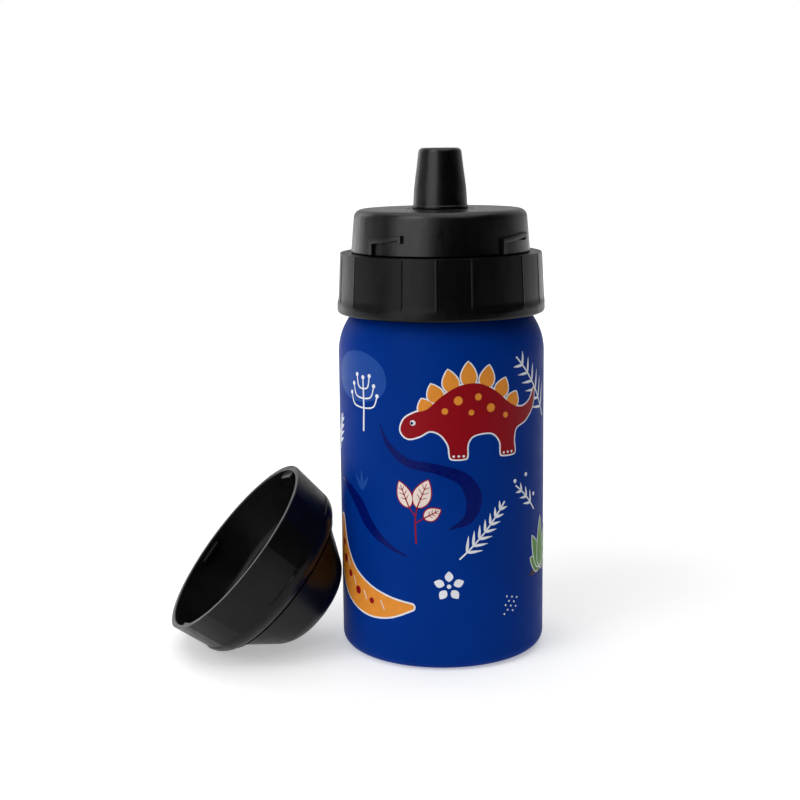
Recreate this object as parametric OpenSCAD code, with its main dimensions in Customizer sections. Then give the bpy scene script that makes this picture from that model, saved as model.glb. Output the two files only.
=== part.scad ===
// Child's insulated drinking bottle: a double-wall steel flask with a screw-on spout lid,
// and the push-and-turn cap that covers the spout, lying loose beside it.
// Millimetres, +Z up. The origin is the centre of the flat foot that the flask stands on.

/* [Flask] */
// Radius of the flask's straight side
body_r = 36.5; // [36:0.1:37]
// Height at which the side starts to curve in to the shoulder
shoulder_z = 107; // [104:0.5:108]
// Radius of the shoulder's curve
shoulder_curve_r = 21; // [20.5:0.1:21.5]
// Radius of the rounded bottom edge
foot_corner_r = 4.5; // [4:0.1:5]
// Outer radius of the neck between its threads
neck_r = 30.4; // [30.2:0.1:30.5]
// Height of the mouth's lip
mouth_z = 136.2; // [136:0.1:136.4]
// Thickness of the outer steel wall
shell_t = 0.6; // [0.5:0.05:0.7]
// Thickness of the inner steel wall
liner_t = 0.5; // [0.4:0.05:0.6]
// Vacuum gap between the two walls
vacuum_gap = 2.8; // [2.4:0.1:3]

/* [Screw thread] */
// Rise of the thread in one turn
thread_pitch = 4; // [3.6:0.1:4.2]
// How far the thread stands out from the wall
thread_depth = 1.1; // [0.9:0.05:1.1]

/* [Screw collar] */
// Height of the collar's lower edge
collar_z = 121; // [120.5:0.1:121.5]
// Height of the collar's flat top
collar_top_z = 142; // [141.8:0.1:142.5]
// Radius of the plain band round the collar's lower edge
collar_band_r = 36.7; // [36.6:0.1:37]
// Radius across the grip's corners, just above the band
grip_low_r = 36.35; // [36:0.05:36.5]
// Radius across the grip's corners, at the top
grip_top_r = 35.5; // [35.3:0.05:35.8]

/* [Spout lid] */
// Radius at the foot of the lid's side
lid_foot_r = 31.5; // [31.2:0.1:31.7]
// Radius at the top of the lid's side
lid_side_r = 30.2; // [29.8:0.1:30.5]
// Height of the lid's flat top
lid_top_z = 157; // [156.5:0.1:157.5]
// How far the bayonet ribs stand out from the lid's side
rib_depth = 1.4; // [1.2:0.05:1.5]
// Height of the spout's tip
spout_tip_z = 178; // [176:0.5:179]

/* [Cap] */
// Outer radius of the cap at its open rim
cap_rim_r = 36.2; // [36:0.1:36.4]
// Depth of the cap's straight skirt, from the rim to the shoulder
cap_skirt_h = 20.8; // [20:0.1:21.5]
// Depth of the whole cap, from the rim to the crown
cap_h = 39.2; // [39:0.1:39.6]
// Thickness of the cap's crown
cap_wall = 1.8; // [1.6:0.1:2]
// How far left of the flask's centre the middle of the cap's rim lies
cap_left = 75.1; // [75:0.1:90]
// Turn of the lying cap towards the front
cap_turn_in = 13.8; // [10:0.1:16]

/* [Hidden] */

steel = "silver";
coat_blue = "royalblue";
plastic_black = "dimgray";
silicone_black = "slategray";

// Smoothness of the drawn circles
round_fn = 96;
// Angle spanned by each step of a rounded outline
arc_step = 7.5;
// Clearance between faces that turn or slide past each other
gap = 0.3;

// Flask
curve_cx = body_r - shoulder_curve_r;
neck_fillet_r = 1.5;
liner_inset = shell_t + vacuum_gap;
liner_neck_r = neck_r - 1.1;
liner_floor_z = 6.5;
liner_corner_r = 8;
foot_inner_r = 31;
base_plate_z = 3.2;
port_r = 2.5;
getter_r = 5;
getter_h = 1.5;
getter_x = 14;

// Thread: a trapezoid ridge, wider at its root, sunk a little into the wall that carries it
thread_root_w = 1.9;
thread_crest_w = 1.0;
thread_sink = 0.3;
neck_thread_z = 125.4;
neck_thread_turns = 1.6;
collar_thread_turns = 1.1;
// Start of the collar's thread, as a turn round the axis and as a drop below the neck's thread
collar_thread_start = 90;
thread_drop = 1.85;
collar_root_r = neck_r + thread_depth + gap + 0.05;

// Collar
collar_bore_r = collar_root_r + 0.75;
collar_bore_h = 2.6;
collar_deck_t = 2.4;
collar_hole_r = 29.3;
band_h = 3.8;
// The grip's corners: five repeats of one wide and two narrow panels, each a little domed
grip_repeats = 5;
grip_steps = [0, 34, 53];
grip_spans = [34, 19, 19];
panel_r = 55;
panel_steps = 5;
collar_grip_turn = -73.3;
cap_grip_turn = 251;

// Lid
lid_corner_r = 3;
lid_t = 2;
plug_r = 28.3;
plug_t = 1.5;
plug_z = mouth_z - 3.2;
gasket_t = 2;
snap_r = 30.1;
snap_h = 1.1;
throat_r = collar_hole_r - gap - 0.1;
lid_foot_z = collar_top_z + 0.25;
spout_hole_r = 8;
rib_count = 4;
rib_start = -139;
rib_span = 24.6;
rib_w = 1.6;
rib_low_z = lid_foot_z + 4.6;
rib_high_z = rib_low_z + 1.8;
vent_y = 19;
vent_stem_r = 1.1;
vent_hole_count = 3;

// Spout
spout_flange_r = 10.5;
spout_flange_t = 1.6;
spout_bead_r = 9.85;
spout_foot_r = 9.55;
spout_tip_r = 7.45;
spout_corner_r = 2;
spout_bore_r = 5;
slit_l = 5;
slit_w = 0.4;

// Cap
cap_corner_r = 7;
cap_skirt_r = 33.9;
dome_foot_r = 28.4;
dome_top_r = 16;
dome_corner_r = 13;
cap_mouth_r = 34;
cap_mouth_h = 7;
// The skirt's wall, thick enough to leave plastic behind the grip's wide panels
cap_skirt_wall = cap_wall + 0.8;
lug_start = 60;
lug_span = 18;
lug_z = 2.4;
lug_w = 1.4;
lug_depth = 2;
pad_r = 7;
pad_t = 1.5;

// Points along an arc, in steps of about arc_step
function arc(cx, cy, r, from, to) =
    let(n = ceil(abs(to - from) / arc_step))
    [for (i = [0:n]) let(a = from + (to - from) * i / n) [cx + r * cos(a), cy + r * sin(a)]];

function reversed(points) = [for (i = [len(points) - 1:-1:0]) points[i]];

// Height of the centre of the fillet between a shoulder curve and a neck
function fillet_z(curve_r, neck) =
    shoulder_z + sqrt(pow(curve_r + neck_fillet_r, 2) - pow(neck + neck_fillet_r - curve_cx, 2));

// Side, shoulder and neck of a vessel, from its bottom corner up, set in from its outer surface
function vessel_side(side_r, floor_z, corner_r, neck, inset) =
    let(curve_r = side_r - curve_cx)
    let(centre_z = fillet_z(curve_r, neck))
    let(turn = atan2(centre_z - shoulder_z, neck + neck_fillet_r - curve_cx))
    concat(
        arc(side_r - corner_r, floor_z + corner_r, corner_r - inset, -90, 0),
        arc(curve_cx, shoulder_z, curve_r - inset, 0, turn),
        arc(neck + neck_fillet_r, centre_z, neck_fillet_r + inset, 180 + turn, 180)
    );

// A trapezoid ridge that winds round the axis, one cross-section for each step of its turn.
// root and crest are radii, the heights are of its middle, and it climbs by the right-hand rule.
module wound_ridge(root, crest, root_w, crest_w, start, span, low_z, high_z) {
    steps = ceil(span / arc_step);
    corners = [[root, -root_w / 2], [crest, -crest_w / 2], [crest, crest_w / 2], [root, root_w / 2]];
    section = root > crest ? corners : reversed(corners);
    points = [
        for (i = [0:steps])
            let(a = start + span * i / steps)
            let(z = low_z + (high_z - low_z) * i / steps)
            for (p = section) [p[0] * cos(a), p[0] * sin(a), z + p[1]]
    ];
    sides = [
        for (i = [0:steps - 1])
            for (j = [0:3])
                let(k = (j + 1) % 4)
                let(low = 4 * i)
                let(high = low + 4)
                for (t = [[low + j, low + k, high + k], [low + j, high + k, high + j]]) t
    ];
    last = 4 * steps;
    ends = [[0, 2, 1], [0, 3, 2], [last, last + 1, last + 2], [last, last + 2, last + 3]];
    polyhedron(points = points, faces = [for (f = concat(sides, ends)) reversed(f)], convexity = 6);
}

// One panel of the grip, from one corner to just before the next: an arc of panel_r about the axis side
function panel(r, start, span) =
    let(middle = start + span / 2)
    let(lean = asin(r * sin(span / 2) / panel_r))
    let(centre = r * cos(span / 2) - panel_r * cos(lean))
    [
        for (i = [0:panel_steps - 1])
            let(a = lean * (2 * i / panel_steps - 1))
            let(out = centre + panel_r * cos(a))
            let(across = panel_r * sin(a))
            [out * cos(middle) - across * sin(middle), out * sin(middle) + across * cos(middle)]
    ];

// The grip's outline, with its corners at the given radius
function grip_outline(r, turn) = [
    for (i = [0:grip_repeats - 1])
        for (k = [0:len(grip_steps) - 1])
            for (p = panel(r, turn + i * 360 / grip_repeats + grip_steps[k], grip_spans[k])) p
];

// Panelled grip that tapers from its foot to its top
module grip(foot_r, top_r, h, turn) {
    linear_extrude(height = h, scale = top_r / foot_r) polygon(grip_outline(foot_r, turn));
}

module outer_shell() {
    neck_top = mouth_z - liner_t;
    outside = vessel_side(body_r, 0, foot_corner_r, neck_r, 0);
    inside = vessel_side(body_r, 0, foot_corner_r, neck_r, shell_t);
    color(coat_blue) union() {
        rotate_extrude($fn = round_fn) polygon(concat(
            [[foot_inner_r, 0]], outside, [[neck_r, neck_top], [neck_r - shell_t, neck_top]],
            reversed(inside), [[foot_inner_r, shell_t]]
        ));
        wound_ridge(
            neck_r - thread_sink, neck_r + thread_depth, thread_root_w, thread_crest_w,
            0, 360 * neck_thread_turns, neck_thread_z, neck_thread_z + thread_pitch * neck_thread_turns
        );
    }
}

module inner_liner() {
    side_r = body_r - liner_inset;
    lip_z = mouth_z - liner_t;
    outside = vessel_side(side_r, liner_floor_z, liner_corner_r, liner_neck_r, 0);
    inside = vessel_side(side_r, liner_floor_z, liner_corner_r, liner_neck_r, liner_t);
    color(steel) rotate_extrude($fn = round_fn) polygon(concat(
        [[0, liner_floor_z]], outside,
        [[liner_neck_r, lip_z], [neck_r, lip_z], [neck_r, mouth_z], [liner_neck_r - liner_t, mouth_z]],
        reversed(inside), [[0, liner_floor_z + liner_t]]
    ));
}

// Pressed plate that closes the vacuum space, with the port the air is drawn out through
module base_plate() {
    rim_r = foot_inner_r + 0.9;
    color(steel) rotate_extrude($fn = round_fn) polygon([
        [port_r, base_plate_z], [27, base_plate_z], [29, shell_t], [rim_r, shell_t],
        [rim_r, 2 * shell_t], [29.3, 2 * shell_t], [27.3, base_plate_z + shell_t],
        [port_r, base_plate_z + shell_t]
    ]);
}

// Dished disc seen from below, welded inside the foot
module base_cover() {
    rim_z = 0.1;
    dish_z = 1.5;
    ring_z = 1.1;
    color(steel) rotate_extrude($fn = round_fn) polygon([
        [0, dish_z], [12, dish_z], [13, ring_z], [15, ring_z], [16, dish_z], [26.5, dish_z],
        [28, rim_z], [foot_inner_r - 0.03, rim_z], [foot_inner_r - 0.03, rim_z + 0.45],
        [28.3, rim_z + 0.45], [26.8, dish_z + 0.5], [0, dish_z + 0.5]
    ]);
}

// Button of solder that seals the port
module vacuum_seal() {
    color("darkgray") rotate_extrude($fn = round_fn) polygon([
        [0, base_plate_z - 0.7], [3, base_plate_z - 0.6], [4.2, base_plate_z - 0.3], [4.5, base_plate_z],
        [port_r - 0.02, base_plate_z], [port_r - 0.02, base_plate_z + shell_t], [0, base_plate_z + shell_t]
    ]);
}

// Pellet that soaks up stray gas in the vacuum space
module getter() {
    color("gray")
        translate([getter_x, 0, base_plate_z + shell_t])
            cylinder(r = getter_r, h = getter_h, $fn = 48);
}

module screw_collar() {
    grip_z = collar_z + band_h - 1;
    edge_r = 1;
    thread_z = neck_thread_z - thread_drop + thread_pitch * collar_thread_start / 360;
    color(plastic_black) union() {
        difference() {
            union() {
                rotate_extrude($fn = round_fn) polygon(concat(
                    [[28, collar_z]],
                    arc(collar_band_r - edge_r, collar_z + edge_r, edge_r, -90, 0),
                    [[collar_band_r, collar_z + band_h - 0.4], [collar_band_r - 0.4, collar_z + band_h],
                     [28, collar_z + band_h]]
                ));
                translate([0, 0, grip_z])
                    grip(grip_low_r, grip_top_r, collar_top_z - grip_z, collar_grip_turn);
            }
            rotate_extrude($fn = round_fn) polygon([
                [0, collar_z - 1], [collar_bore_r, collar_z - 1], [collar_bore_r, collar_z + collar_bore_h],
                [collar_root_r, collar_z + collar_bore_h + 0.75],
                [collar_root_r, collar_top_z - collar_deck_t],
                [collar_hole_r, collar_top_z - collar_deck_t], [collar_hole_r, collar_top_z + 1],
                [0, collar_top_z + 1]
            ]);
        }
        wound_ridge(
            collar_root_r + thread_sink, neck_r + gap + 0.1, thread_root_w, thread_crest_w,
            collar_thread_start, 360 * collar_thread_turns,
            thread_z, thread_z + thread_pitch * collar_thread_turns
        );
    }
}

// Radius of the lid's outer side at a height
function lid_r(z) = lid_foot_r + (lid_side_r - lid_foot_r) * (z - lid_foot_z) / (lid_top_z - lid_foot_z);

module lid_body() {
    corner_z = lid_top_z - lid_corner_r;
    snap_z = mouth_z + gasket_t;
    ceiling_z = lid_top_z - lid_t;
    shelf_z = lid_foot_z + lid_t;
    rib_root = lid_r(rib_high_z) - 0.8;
    bar_w = 3;
    color(plastic_black) union() {
        difference() {
            rotate_extrude($fn = round_fn) polygon(concat(
                [[plug_r - plug_t, plug_z], [plug_r, plug_z], [plug_r, snap_z], [snap_r, snap_z],
                 [snap_r, snap_z + snap_h / 2], [throat_r, snap_z + snap_h], [throat_r, lid_foot_z],
                 [lid_foot_r, lid_foot_z]],
                arc(lid_side_r - lid_corner_r, corner_z, lid_corner_r, 6, 90),
                [[spout_hole_r, lid_top_z], [spout_hole_r, ceiling_z]],
                arc(lid_side_r - lid_corner_r, corner_z, lid_corner_r - lid_t, 90, 6),
                [[lid_foot_r - lid_t, shelf_z + 1], [plug_r - plug_t, lid_foot_z]]
            ));
            translate([0, vent_y, ceiling_z - 1]) {
                cylinder(r = vent_stem_r + 0.1, h = lid_t + 2, $fn = 24);
                for (i = [0:vent_hole_count - 1])
                    rotate(90 + i * 360 / vent_hole_count)
                        translate([2.6, 0, 0])
                            cylinder(r = 0.5, h = lid_t + 2, $fn = 16);
            }
        }
        for (i = [0:rib_count - 1]) rotate(rib_start + i * 360 / rib_count) {
            // Stop bar at the rib's low end
            wound_ridge(
                rib_root, lid_r(rib_low_z) + rib_depth, rib_low_z - lid_foot_z, rib_low_z - lid_foot_z - 0.4,
                0, bar_w, (rib_low_z + lid_foot_z) / 2, (rib_low_z + lid_foot_z) / 2
            );
            // Sloping rib that draws the cap's lug down
            wound_ridge(
                rib_root, lid_r(rib_high_z) + rib_depth, rib_w + 0.2, rib_w,
                0, rib_span, rib_low_z, rib_high_z
            );
            // Small step at its high end that the lug clicks past
            wound_ridge(
                rib_root, lid_r(rib_high_z) + rib_depth, 1.6, 1.2,
                rib_span - 1.6, 1.6, rib_high_z - 1.2, rib_high_z - 1.2
            );
        }
    }
}

module mouth_gasket() {
    color(silicone_black) rotate_extrude($fn = round_fn) translate([plug_r + 0.05, mouth_z])
        square([neck_r - plug_r - 0.15, gasket_t]);
}

module spout() {
    ceiling_z = lid_top_z - lid_t;
    waist_r = spout_hole_r - 0.05;
    corner_z = spout_tip_z - spout_corner_r;
    dish_r = 4;
    dish_z = spout_tip_z - 0.7;
    color(silicone_black) difference() {
        rotate_extrude($fn = round_fn) polygon(concat(
            [[spout_bore_r, ceiling_z - spout_flange_t], [spout_flange_r, ceiling_z - spout_flange_t],
             [spout_flange_r, ceiling_z], [waist_r, ceiling_z], [waist_r, lid_top_z]],
            arc(spout_bead_r - 0.5, lid_top_z + 0.5, 0.5, -90, 70),
            [[spout_foot_r, lid_top_z + 1.3], [9.2, lid_top_z + 7], [8.3, lid_top_z + 13.3]],
            arc(spout_tip_r - spout_corner_r, corner_z, spout_corner_r, 12, 90),
            [[dish_r, spout_tip_z], [dish_r - 0.7, dish_z], [0, dish_z], [0, spout_tip_z - 2.6],
             [3.4, spout_tip_z - 2.6], [spout_bore_r, lid_top_z + 12]]
        ));
        for (turn = [45, 135]) rotate(turn)
            translate([-slit_l / 2, -slit_w / 2, spout_tip_z - 4])
                cube([slit_l, slit_w, 6]);
    }
}

// Umbrella valve that lets air in under the lid as the bottle is drunk from
module vent_valve() {
    ceiling_z = lid_top_z - lid_t;
    color(silicone_black) translate([0, vent_y, 0]) rotate_extrude($fn = 48) polygon([
        [0, ceiling_z - 1.6], [1.4, ceiling_z - 1.2], [4.4, ceiling_z - 0.5], [4.4, ceiling_z],
        [vent_stem_r, ceiling_z], [vent_stem_r, lid_top_z], [1.7, lid_top_z], [1.5, lid_top_z + 0.7],
        [0.8, lid_top_z + 1.2], [0, lid_top_z + 1.2]
    ]);
}

// Cap outline, from the rim to the crown, with z as the depth from the rim
skirt_slope = atan2(cap_rim_r - cap_skirt_r, cap_skirt_h);
dome_slope = atan2(dome_foot_r - dome_top_r, cap_h - cap_skirt_h);
// Centre of the rounding where a line sloping in from (r, 0) meets a flat end at height h
function corner_centre(r, slope, h, corner_r) =
    [r - (h - corner_r) * tan(slope) - corner_r / cos(slope), h - corner_r];
cap_corner = corner_centre(cap_rim_r, skirt_slope, cap_skirt_h, cap_corner_r);
dome_corner = corner_centre(dome_foot_r, dome_slope, cap_h - cap_skirt_h, dome_corner_r) + [0, cap_skirt_h];

cap_outside = concat(
    arc(cap_corner[0], cap_corner[1], cap_corner_r, skirt_slope, 90),
    [[dome_foot_r, cap_skirt_h]],
    arc(dome_corner[0], dome_corner[1], dome_corner_r, dome_slope, 90)
);
cap_inside = concat(
    arc(cap_corner[0], cap_corner[1], cap_corner_r - cap_skirt_wall, skirt_slope, 90),
    arc(dome_corner[0], dome_corner[1], dome_corner_r - cap_wall, dome_slope, 90)
);

// The cap lies on its shoulder and its crown, so its tilt follows from its outline
rest_step = dome_corner - cap_corner;
cap_tilt = asin((cap_corner_r - dome_corner_r) / norm(rest_step)) - atan2(rest_step[0], rest_step[1]);
cap_rim_z = cap_corner[1] * sin(cap_tilt) + cap_corner[0] * cos(cap_tilt) + cap_corner_r;
cap_rim_y = -7.1;

// Carries the cap from its own axis, rim at z = 0 and crown up, to where it lies
module lay_cap() {
    translate([-cap_left, cap_rim_y, cap_rim_z]) rotate([0, 90 + cap_tilt, cap_turn_in]) children();
}

module cap_shell() {
    grip_far_r = cap_rim_r - (cap_rim_r - cap_skirt_r) * cap_h / cap_skirt_h;
    color(plastic_black) lay_cap() union() {
        difference() {
            intersection() {
                rotate_extrude($fn = round_fn) polygon(concat(
                    [[0, 0], [cap_rim_r - 0.4, 0], [cap_rim_r, 0.5]], cap_outside, [[0, cap_h]]
                ));
                grip(cap_rim_r, grip_far_r, cap_h, cap_grip_turn);
            }
            rotate_extrude($fn = round_fn) polygon(concat(
                [[0, -1], [cap_mouth_r, -1], [cap_mouth_r, cap_mouth_h]],
                cap_inside, [[0, cap_h - cap_wall]]
            ));
        }
        for (i = [0:rib_count - 1])
            wound_ridge(
                cap_mouth_r + 0.3, cap_mouth_r - lug_depth, lug_w + 0.4, lug_w,
                lug_start + i * 360 / rib_count, lug_span, lug_z, lug_z
            );
    }
}

// Soft pad inside the crown that closes the spout's tip
module cap_pad() {
    color(silicone_black) lay_cap()
        translate([0, 0, cap_h - cap_wall - pad_t]) cylinder(r = pad_r, h = pad_t, $fn = round_fn);
}

outer_shell();
inner_liner();
base_plate();
base_cover();
vacuum_seal();
getter();
screw_collar();
lid_body();
mouth_gasket();
spout();
vent_valve();
cap_shell();
cap_pad();
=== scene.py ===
# The looks of a kids' insulated bottle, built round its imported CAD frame.
# Shapes are worked out in millimetres in the frame's own axes, and scaled to metres when a mesh is made.
import math

import bmesh
import bpy
from mathutils import Matrix, Vector
from mathutils.geometry import tessellate_polygon


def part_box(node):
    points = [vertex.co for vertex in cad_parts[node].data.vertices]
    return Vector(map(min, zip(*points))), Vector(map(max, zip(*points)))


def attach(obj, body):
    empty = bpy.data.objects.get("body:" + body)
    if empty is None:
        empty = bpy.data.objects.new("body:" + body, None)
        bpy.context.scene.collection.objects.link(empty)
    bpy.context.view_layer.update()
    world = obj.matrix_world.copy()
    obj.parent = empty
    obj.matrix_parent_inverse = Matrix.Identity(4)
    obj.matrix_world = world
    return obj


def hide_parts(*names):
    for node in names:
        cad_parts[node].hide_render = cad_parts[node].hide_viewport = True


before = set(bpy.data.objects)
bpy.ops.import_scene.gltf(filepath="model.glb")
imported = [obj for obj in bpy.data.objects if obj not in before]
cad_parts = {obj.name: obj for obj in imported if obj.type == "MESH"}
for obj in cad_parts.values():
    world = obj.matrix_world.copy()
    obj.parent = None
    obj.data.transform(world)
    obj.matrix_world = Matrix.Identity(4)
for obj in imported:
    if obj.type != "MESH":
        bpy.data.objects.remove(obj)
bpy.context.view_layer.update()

MM = 0.001
ON_AXIS = 1e-6


# ---------------------------------------------------------------- sizes, in mm

def corners(node):
    """Lowest and highest corner of a CAD node, in mm."""
    return [[v / MM for v in corner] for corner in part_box(node)]


SHELL_HIGH = corners("outer_shell")[1]
LINER_HIGH = corners("inner_liner")[1]
COLLAR_LOW, COLLAR_HIGH = corners("screw_collar")
LID_LOW, LID_HIGH = corners("lid_body")
SPOUT_LOW, SPOUT_HIGH = corners("spout")

BODY_R = SHELL_HIGH[0]
MOUTH_Z = LINER_HIGH[2]
SHOULDER_Z = 107.0
SHOULDER_CURVE_R = 21.0
CURVE_X = BODY_R - SHOULDER_CURVE_R
FOOT_CORNER_R = 4.5
FOOT_INNER_R = 31.0
SHELL_T = 0.6
NECK_R = 30.4
NECK_FILLET_R = 1.5
NECK_BASE_Z = 122.4

THREAD_PITCH = 4.0
THREAD_DEPTH = 1.1
THREAD_SINK = 0.3
THREAD_TAPER = 12.0
THREAD_CLEAR = 0.4
NECK_THREAD_Z = 125.4
NECK_THREAD_SPAN = 576.0
COLLAR_THREAD_START = 90.0
COLLAR_THREAD_SPAN = 396.0
COLLAR_THREAD_DROP = 1.85

COLLAR_Z = COLLAR_LOW[2]
COLLAR_TOP = COLLAR_HIGH[2]
BAND_R = COLLAR_HIGH[0]
BAND_TOP = COLLAR_Z + 3.8
BAND_LOW_TOP = COLLAR_Z + 1.6
RUN_OUT_Z = COLLAR_Z + 5.4
RUN_OUT_R = 4.0
GRIP_LOW_R = 36.35
GRIP_TOP_R = 35.5
COLLAR_ROOT_R = 31.85
COLLAR_BORE_R = 32.6
COLLAR_HOLE_R = 29.3
COLLAR_DECK_T = 2.4

LID_FOOT_Z = COLLAR_TOP + 0.25
LID_TOP = LID_HIGH[2]
LID_T = 2.0
CEILING_Z = LID_TOP - LID_T
LID_FOOT_R = 31.5
LID_SIDE_R = 30.2
LID_CORNER_R = 3.0
PLUG_Z = LID_LOW[2]
PLUG_R = 28.3
PLUG_T = 1.5
GASKET_T = 2.0
SNAP_BEAD_R = 30.1
THROAT_R = 28.9
GROOVE_R = 11.5
GROOVE_DEPTH = 0.25

SPOUT_FLANGE_Z = SPOUT_LOW[2]
SPOUT_FLANGE_R = 10.5
SPOUT_HOLE_R = 8.0
SPOUT_WAIST_R = 7.95
SPOUT_BEAD_R = 9.85
SPOUT_BORE_R = 5.0
SPOUT_TIP = SPOUT_HIGH[2]
SPOUT_TIP_R = 7.35
SPOUT_DISH_R = 3.4
SPOUT_TIP_T = 2.6


# ---------------------------------------------------------------- outlines

def rounded(points, closed=True, step=8.0):
    """A polyline whose points may carry a third number, the radius that rounds them."""
    out = []
    count = len(points)
    for i, point in enumerate(points):
        here = Vector(point[:2])
        radius = point[2] if len(point) > 2 else 0.0
        at_end = not closed and i in (0, count - 1)
        if radius == 0.0 or at_end:
            out.append(tuple(here))
            continue
        back = Vector(points[i - 1][:2]) - here
        ahead = Vector(points[(i + 1) % count][:2]) - here
        half = back.angle(ahead) / 2
        reach = min(radius / math.tan(half), 0.49 * back.length, 0.49 * ahead.length)
        radius = reach * math.tan(half)
        centre = here + (back.normalized() + ahead.normalized()).normalized() * radius / math.sin(half)
        first = here + back.normalized() * reach - centre
        turn = math.pi - 2 * half
        sign = 1.0 if first.x * (here - centre).y - first.y * (here - centre).x > 0 else -1.0
        steps = max(2, math.ceil(math.degrees(turn) / step))
        for k in range(steps + 1):
            spin = Matrix.Rotation(sign * turn * k / steps, 2)
            out.append(tuple(centre + spin @ first))
    return out


def arc(cx, cy, radius, start, end, step=5.0):
    """Points on an arc, from start to end in degrees."""
    steps = max(2, math.ceil(abs(end - start) / step))
    angles = [math.radians(start + (end - start) * k / steps) for k in range(steps + 1)]
    return [(cx + radius * math.cos(a), cy + radius * math.sin(a)) for a in angles]


def even(count):
    """Column angles of an even lathe, in degrees."""
    return [360.0 * k / count for k in range(count)]


# ---------------------------------------------------------------- meshes

def polar(radius, angle, z):
    a = math.radians(angle)
    return Vector((radius * math.cos(a), radius * math.sin(a), z)) * MM


def from_axis(outer, inner):
    """Joins an outer and an inner outline into one that starts and ends on the axis."""
    loop = outer + inner
    start = next(i for i, (r, z) in enumerate(loop) if r < ON_AXIS)
    return loop[start + 1:] + loop[:start + 1]


def lathe(bm, profile, columns, shape=None):
    """Turns a profile of (r, z) about Z. One that starts on the axis closes there, and others close on
    themselves. shape(r, z, angle) may change the radius as it goes round."""
    rings = []
    for r, z in profile:
        if r < ON_AXIS:
            rings.append([bm.verts.new((0, 0, z * MM))] * len(columns))
        else:
            rings.append([bm.verts.new(polar(shape(r, z, a) if shape else r, a, z)) for a in columns])
    pairs = list(zip(rings, rings[1:]))
    if profile[0][0] >= ON_AXIS:
        pairs.append((rings[-1], rings[0]))
    for lower, upper in pairs:
        for k in range(len(columns)):
            n = (k + 1) % len(columns)
            face = []
            for vert in (lower[k], lower[n], upper[n], upper[k]):
                if vert not in face:
                    face.append(vert)
            if len(face) > 2:
                bm.faces.new(face)


def ridge(bm, section, start, span, low, high, root, taper=0.0, step=3.0):
    """A closed ridge that winds round Z from height low to high.

    section holds (r, dz). Over the last taper degrees its ends sink towards root.
    """
    steps = max(2, math.ceil(span / step))
    rings = []
    for k in range(steps + 1):
        share = k / steps
        angle = start + span * share
        z = low + (high - low) * share
        near = min(share, 1 - share) * span
        full = 1.0 if taper == 0 else min(1.0, 0.15 + near / taper)
        rings.append([bm.verts.new(polar(root + (r - root) * full, angle, z + dz)) for r, dz in section])
    count = len(section)
    for lower, upper in zip(rings, rings[1:]):
        for j in range(count):
            n = (j + 1) % count
            bm.faces.new((lower[j], lower[n], upper[n], upper[j]))
    bm.faces.new(rings[0])
    bm.faces.new(list(reversed(rings[-1])))


def add_piece(name, bm, material, body, sharp=32.0, place=None):
    """Makes a smooth-shaded object of bm, rides it on a body and gives it its material."""
    bmesh.ops.recalc_face_normals(bm, faces=bm.faces)
    mesh = bpy.data.meshes.new(name)
    bm.to_mesh(mesh)
    bm.free()
    if place:
        mesh.transform(place)
    mesh.shade_smooth()
    mesh.set_sharp_from_angle(angle=math.radians(sharp))
    mesh.materials.append(material)
    piece = bpy.data.objects.new(name, mesh)
    bpy.context.scene.collection.objects.link(piece)
    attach(piece, body)
    return piece


# ---------------------------------------------------------------- materials

class Nodes:
    """A material's node tree, with short calls for the nodes the finishes share."""

    def __init__(self, name):
        self.material = bpy.data.materials.new(name)
        self.material.use_nodes = True
        self.tree = self.material.node_tree
        self.shader = self.tree.nodes["Principled BSDF"]
        self.place = self.add("ShaderNodeTexCoord").outputs["Object"]

    def add(self, kind, **values):
        node = self.tree.nodes.new(kind)
        for key, value in values.items():
            setattr(node, key, value)
        return node

    def link(self, source, target):
        self.tree.links.new(source, target)

    def set(self, **values):
        for key, value in values.items():
            self.shader.inputs[key.replace("_", " ")].default_value = value

    def noise(self, size_mm, detail=2.0, roughness=0.5, stretch=None):
        """Noise whose features are about size_mm across."""
        place = self.place
        if stretch:
            mapping = self.add("ShaderNodeMapping")
            mapping.inputs["Scale"].default_value = stretch
            self.link(place, mapping.inputs["Vector"])
            place = mapping.outputs["Vector"]
        node = self.add("ShaderNodeTexNoise")
        node.inputs["Scale"].default_value = 1.0 / (size_mm * MM)
        node.inputs["Detail"].default_value = detail
        node.inputs["Roughness"].default_value = roughness
        self.link(place, node.inputs["Vector"])
        return node.outputs["Fac"]

    def ramp(self, source, low, high, start=0.3, end=0.7):
        """Colours from low to high as source goes from start to end."""
        node = self.add("ShaderNodeValToRGB")
        node.color_ramp.elements[0].position = start
        node.color_ramp.elements[1].position = end
        node.color_ramp.elements[0].color = tuple(low) + (1.0,)
        node.color_ramp.elements[1].color = tuple(high) + (1.0,)
        self.link(source, node.inputs["Fac"])
        return node.outputs["Color"]

    def spread(self, source, low, high, start=0.3, end=0.7):
        """Numbers from low to high as source goes from start to end."""
        node = self.add("ShaderNodeMapRange")
        for key, value in (("From Min", start), ("From Max", end), ("To Min", low), ("To Max", high)):
            node.inputs[key].default_value = value
        self.link(source, node.inputs["Value"])
        return node.outputs["Result"]

    def bump(self, source, depth_mm, below=None):
        node = self.add("ShaderNodeBump")
        node.inputs["Distance"].default_value = depth_mm * MM
        self.link(source, node.inputs["Height"])
        if below:
            self.link(below, node.inputs["Normal"])
        return node.outputs["Normal"]

    def colour(self, source):
        self.link(source, self.shader.inputs["Base Color"])

    def roughness(self, source):
        self.link(source, self.shader.inputs["Roughness"])

    def normal(self, source):
        self.link(source, self.shader.inputs["Normal"])


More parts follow.
